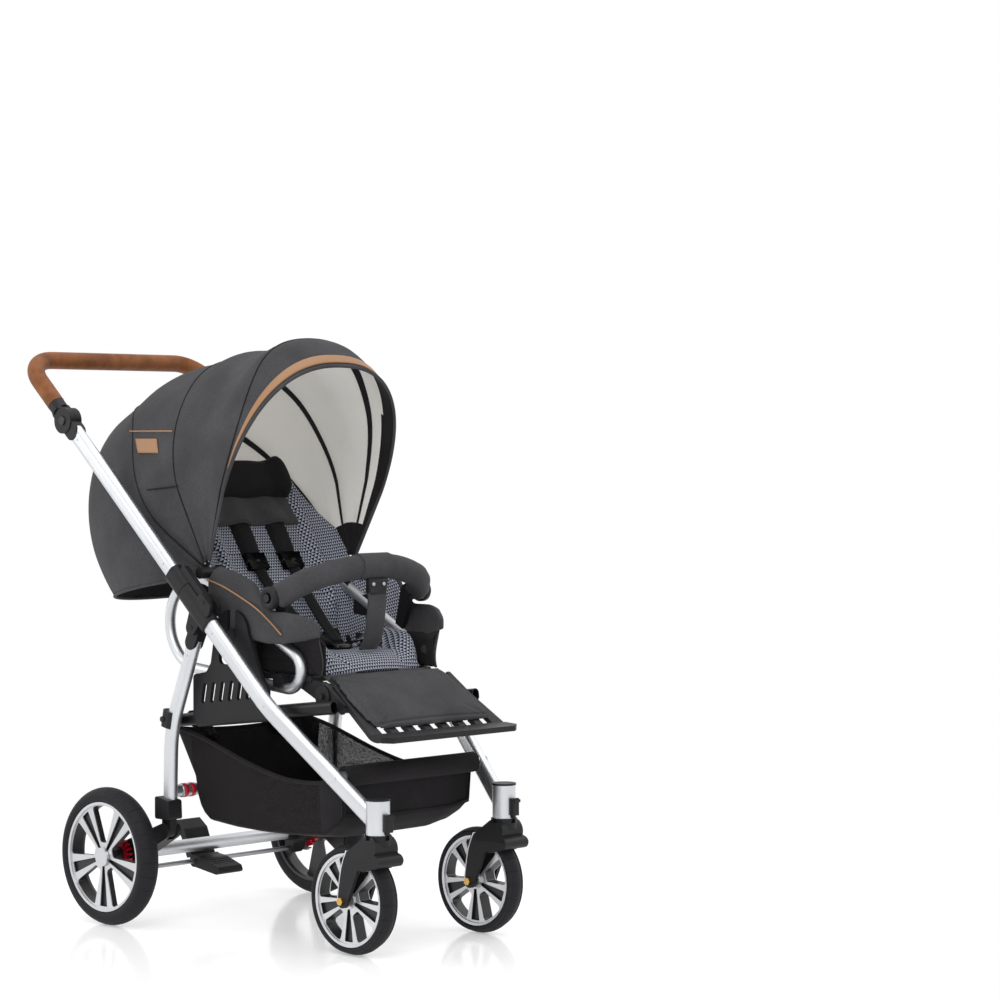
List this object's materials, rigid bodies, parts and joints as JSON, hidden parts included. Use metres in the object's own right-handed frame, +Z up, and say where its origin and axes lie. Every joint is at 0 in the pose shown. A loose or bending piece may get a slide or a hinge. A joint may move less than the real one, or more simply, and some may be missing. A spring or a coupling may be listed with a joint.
{
  "type": "baby stroller",
  "caption": "Folding baby stroller with reclining sport seat, hinged canopy, bumper bar, footrest, basket, swivelling front wheels and sprung, braked rear wheels.",
  "frame": {"origin": "on the floor under the middle of the stroller's box", "axes": "+X forward, +Y to the child's left, +Z up"},
  "size_m": [1.0702, 0.614, 1.198],
  "materials": {
    "anodised_tube": "satin",
    "black_plastic": "fine texture",
    "black_tube": "powder coat",
    "steel": "plain",
    "brass_bolt": "plain",
    "rim": "gloss with silver edges",
    "tyre": "matte",
    "red_plastic": "semi-gloss",
    "tan_leather": "grained",
    "charcoal_fabric": "woven",
    "knit_fabric": "knit",
    "mesh_fabric": "mesh",
    "webbing": "woven webbing"
  },
  "bodies": {
    "front_frame": {"front_leg_left": "anodised_tube", "front_leg_right": "anodised_tube", "front_cross_tube": "black_tube", "frame_fittings": "black_plastic", "carrier_tube": "black_tube", "side_plates": "black_plastic", "basket": "mesh_fabric"},
    "push_bar": {"push_tube_left": "anodised_tube", "push_tube_right": "anodised_tube", "push_fittings": "black_plastic"},
    "fold_slider_left": {"fold_slider_left": "black_plastic"},
    "fold_slider_right": {"fold_slider_right": "black_plastic"},
    "handle": {"handle_tube": "black_tube", "handle_grip": "tan_leather", "handle_hubs": "black_plastic"},
    "handle_button_left": {"handle_button_left": "black_plastic"},
    "handle_button_right": {"handle_button_right": "black_plastic"},
    "rear_frame": {"rear_leg_left": "anodised_tube", "rear_leg_right": "anodised_tube", "rear_fittings": "black_plastic", "rear_cross_tube": "black_tube"},
    "rear_axle": {"swing_arms": "black_plastic", "axle_tube": "black_tube"},
    "brake": {"brake_pedal": "black_plastic", "brake_rod": "steel"},
    "rear_wheel_left": {"rear_tyre_left": "tyre", "rear_rim_left": "rim", "brake_ring_left": "red_plastic"},
    "rear_wheel_right": {"rear_tyre_right": "tyre", "rear_rim_right": "rim", "brake_ring_right": "red_plastic"},
    "caster_left": {"fork_left": "black_plastic", "axle_bolt_left": "brass_bolt"},
    "caster_right": {"fork_right": "black_plastic", "axle_bolt_right": "brass_bolt"},
    "swivel_lock_left": {"swivel_lock_left": "black_plastic"},
    "swivel_lock_right": {"swivel_lock_right": "black_plastic"},
    "front_wheel_left": {"front_tyre_left": "tyre", "front_rim_left": "rim"},
    "front_wheel_right": {"front_tyre_right": "tyre", "front_rim_right": "rim"},
    "seat": {"seat_hoops": "anodised_tube", "seat_frame": "black_plastic", "seat_walls": "charcoal_fabric", "seat_pad": "knit_fabric", "harness_belt": "webbing", "canopy_rear": "charcoal_fabric"},
    "backrest": {"backrest_board": "black_plastic", "backrest_pad": "knit_fabric", "shoulder_straps": "webbing"},
    "footrest": {"footrest_frame": "black_plastic", "footrest_pad": "charcoal_fabric"},
    "bumper": {"bumper_bar": "charcoal_fabric", "crotch_strap": "webbing"},
    "bumper_button_left": {"bumper_button_left": "black_plastic"},
    "bumper_button_right": {"bumper_button_right": "black_plastic"},
    "canopy_front": {"canopy_front": "charcoal_fabric"},
    "canopy_mid": {"canopy_mid": "charcoal_fabric"},
    "buckle_button": {"buckle_button": "black_plastic"}
  },
  "joints": [
    {"name": "frame_fold", "type": "hinge", "parent": "front_frame", "child": "push_bar", "pos_m": [0.07845, 0, 0.66504], "axis": [0, 1, 0], "range_deg": [0, 150]},
    {"name": "rear_fold", "type": "hinge", "parent": "front_frame", "child": "rear_frame", "pos_m": [0.03395, 0, 0.61227], "axis": [0, 1, 0], "range_deg": [-43, 0], "deforming": ["basket"]},
    {"name": "suspension", "type": "hinge", "parent": "rear_frame", "child": "rear_axle", "pos_m": [-0.05288, 0, 0.198], "axis": [0, 1, 0], "range_deg": [0, 8], "stiffness_Nm_per_rad": 40, "springref_deg": -28.65},
    {"name": "brake_turn", "type": "hinge", "parent": "rear_axle", "child": "brake", "pos_m": [-0.18888, 0, 0.104], "axis": [0, -1, 0], "range_deg": [0, 35]},
    {"name": "rear_wheel_left_spin", "type": "hinge", "parent": "rear_axle", "child": "rear_wheel_left", "pos_m": [-0.17688, 0.284, 0.14], "axis": [0, 1, 0], "continuous": true},
    {"name": "caster_left_swivel", "type": "hinge", "parent": "front_frame", "child": "caster_left", "pos_m": [0.49512, 0.173, 0.2365], "axis": [0, 0, 1], "continuous": true},
    {"name": "front_wheel_left_spin", "type": "hinge", "parent": "caster_left", "child": "front_wheel_left", "pos_m": [0.42912, 0.173, 0.106], "axis": [0, 1, 0], "continuous": true},
    {"name": "swivel_lock_left_slide", "type": "slide", "parent": "front_frame", "child": "swivel_lock_left", "axis": [0, 0, 1], "range_m": [-0.006, 0]},
    {"name": "fold_slider_left_slide", "type": "slide", "parent": "push_bar", "child": "fold_slider_left", "axis": [-0.7455, 0, 0.6665], "range_m": [0, 0.01], "stiffness_N_per_m": 300, "springref_m": -0.006},
    {"name": "handle_button_left_press", "type": "slide", "parent": "push_bar", "child": "handle_button_left", "axis": [0, -1, 0], "range_m": [0, 0.003], "stiffness_N_per_m": 600, "springref_m": -0.002},
    {"name": "bumper_button_left_press", "type": "slide", "parent": "bumper", "child": "bumper_button_left", "axis": [0, -1, 0], "range_m": [0, 0.003], "stiffness_N_per_m": 600, "springref_m": -0.002},
    {"name": "rear_wheel_right_spin", "type": "hinge", "parent": "rear_axle", "child": "rear_wheel_right", "pos_m": [-0.17688, -0.284, 0.14], "axis": [0, 1, 0], "continuous": true},
    {"name": "caster_right_swivel", "type": "hinge", "parent": "front_frame", "child": "caster_right", "pos_m": [0.49512, -0.173, 0.2365], "axis": [0, 0, 1], "continuous": true},
    {"name": "front_wheel_right_spin", "type": "hinge", "parent": "caster_right", "child": "front_wheel_right", "pos_m": [0.42912, -0.173, 0.106], "axis": [0, 1, 0], "continuous": true},
    {"name": "swivel_lock_right_slide", "type": "slide", "parent": "front_frame", "child": "swivel_lock_right", "axis": [0, 0, 1], "range_m": [-0.006, 0]},
    {"name": "fold_slider_right_slide", "type": "slide", "parent": "push_bar", "child": "fold_slider_right", "axis": [-0.7455, 0, 0.6665], "range_m": [0, 0.01], "stiffness_N_per_m": 300, "springref_m": -0.006},
    {"name": "handle_button_right_press", "type": "slide", "parent": "push_bar", "child": "handle_button_right", "axis": [0, 1, 0], "range_m": [0, 0.003], "stiffness_N_per_m": 600, "springref_m": -0.002},
    {"name": "bumper_button_right_press", "type": "slide", "parent": "bumper", "child": "bumper_button_right", "axis": [0, 1, 0], "range_m": [0, 0.003], "stiffness_N_per_m": 600, "springref_m": -0.002},
    {"name": "handle_turn", "type": "hinge", "parent": "push_bar", "child": "handle", "pos_m": [-0.36982, 0, 1.0256], "axis": [0, 1, 0], "range_deg": [-45, 60]},
    {"name": "seat_lift", "type": "slide", "parent": "front_frame", "child": "seat", "axis": [0, 0, 1], "range_m": [0, 0.08]},
    {"name": "backrest_recline", "type": "hinge", "parent": "seat", "child": "backrest", "pos_m": [0.08112, 0, 0.54], "axis": [0, -1, 0], "range_deg": [-15, 55]},
    {"name": "footrest_tilt", "type": "hinge", "parent": "seat", "child": "footrest", "pos_m": [0.34312, 0, 0.49], "axis": [0, -1, 0], "range_deg": [-20, 32]},
    {"name": "bumper_swing", "type": "hinge", "parent": "seat", "child": "bumper", "pos_m": [0.22712, 0, 0.677], "axis": [0, -1, 0], "range_deg": [0, 55]},
    {"name": "canopy_fold", "type": "hinge", "parent": "seat", "child": "canopy_front", "pos_m": [0.02812, 0, 0.72], "axis": [0, -1, 0], "range_deg": [0, 78]},
    {"name": "canopy_mid_fold", "type": "hinge", "parent": "seat", "child": "canopy_mid", "pos_m": [0.02812, 0, 0.72], "axis": [0, -1, 0], "range_deg": [0, 40]},
    {"name": "buckle_press", "type": "slide", "parent": "seat", "child": "buckle_button", "axis": [0, 0, -1], "range_m": [0, 0.002], "stiffness_N_per_m": 500, "springref_m": -0.002}
  ],
  "couplings": [
    {"joint": "rear_fold", "follows": "frame_fold", "ratio": -0.28},
    {"joint": "canopy_mid_fold", "follows": "canopy_fold", "ratio": 0.5}
  ]
}
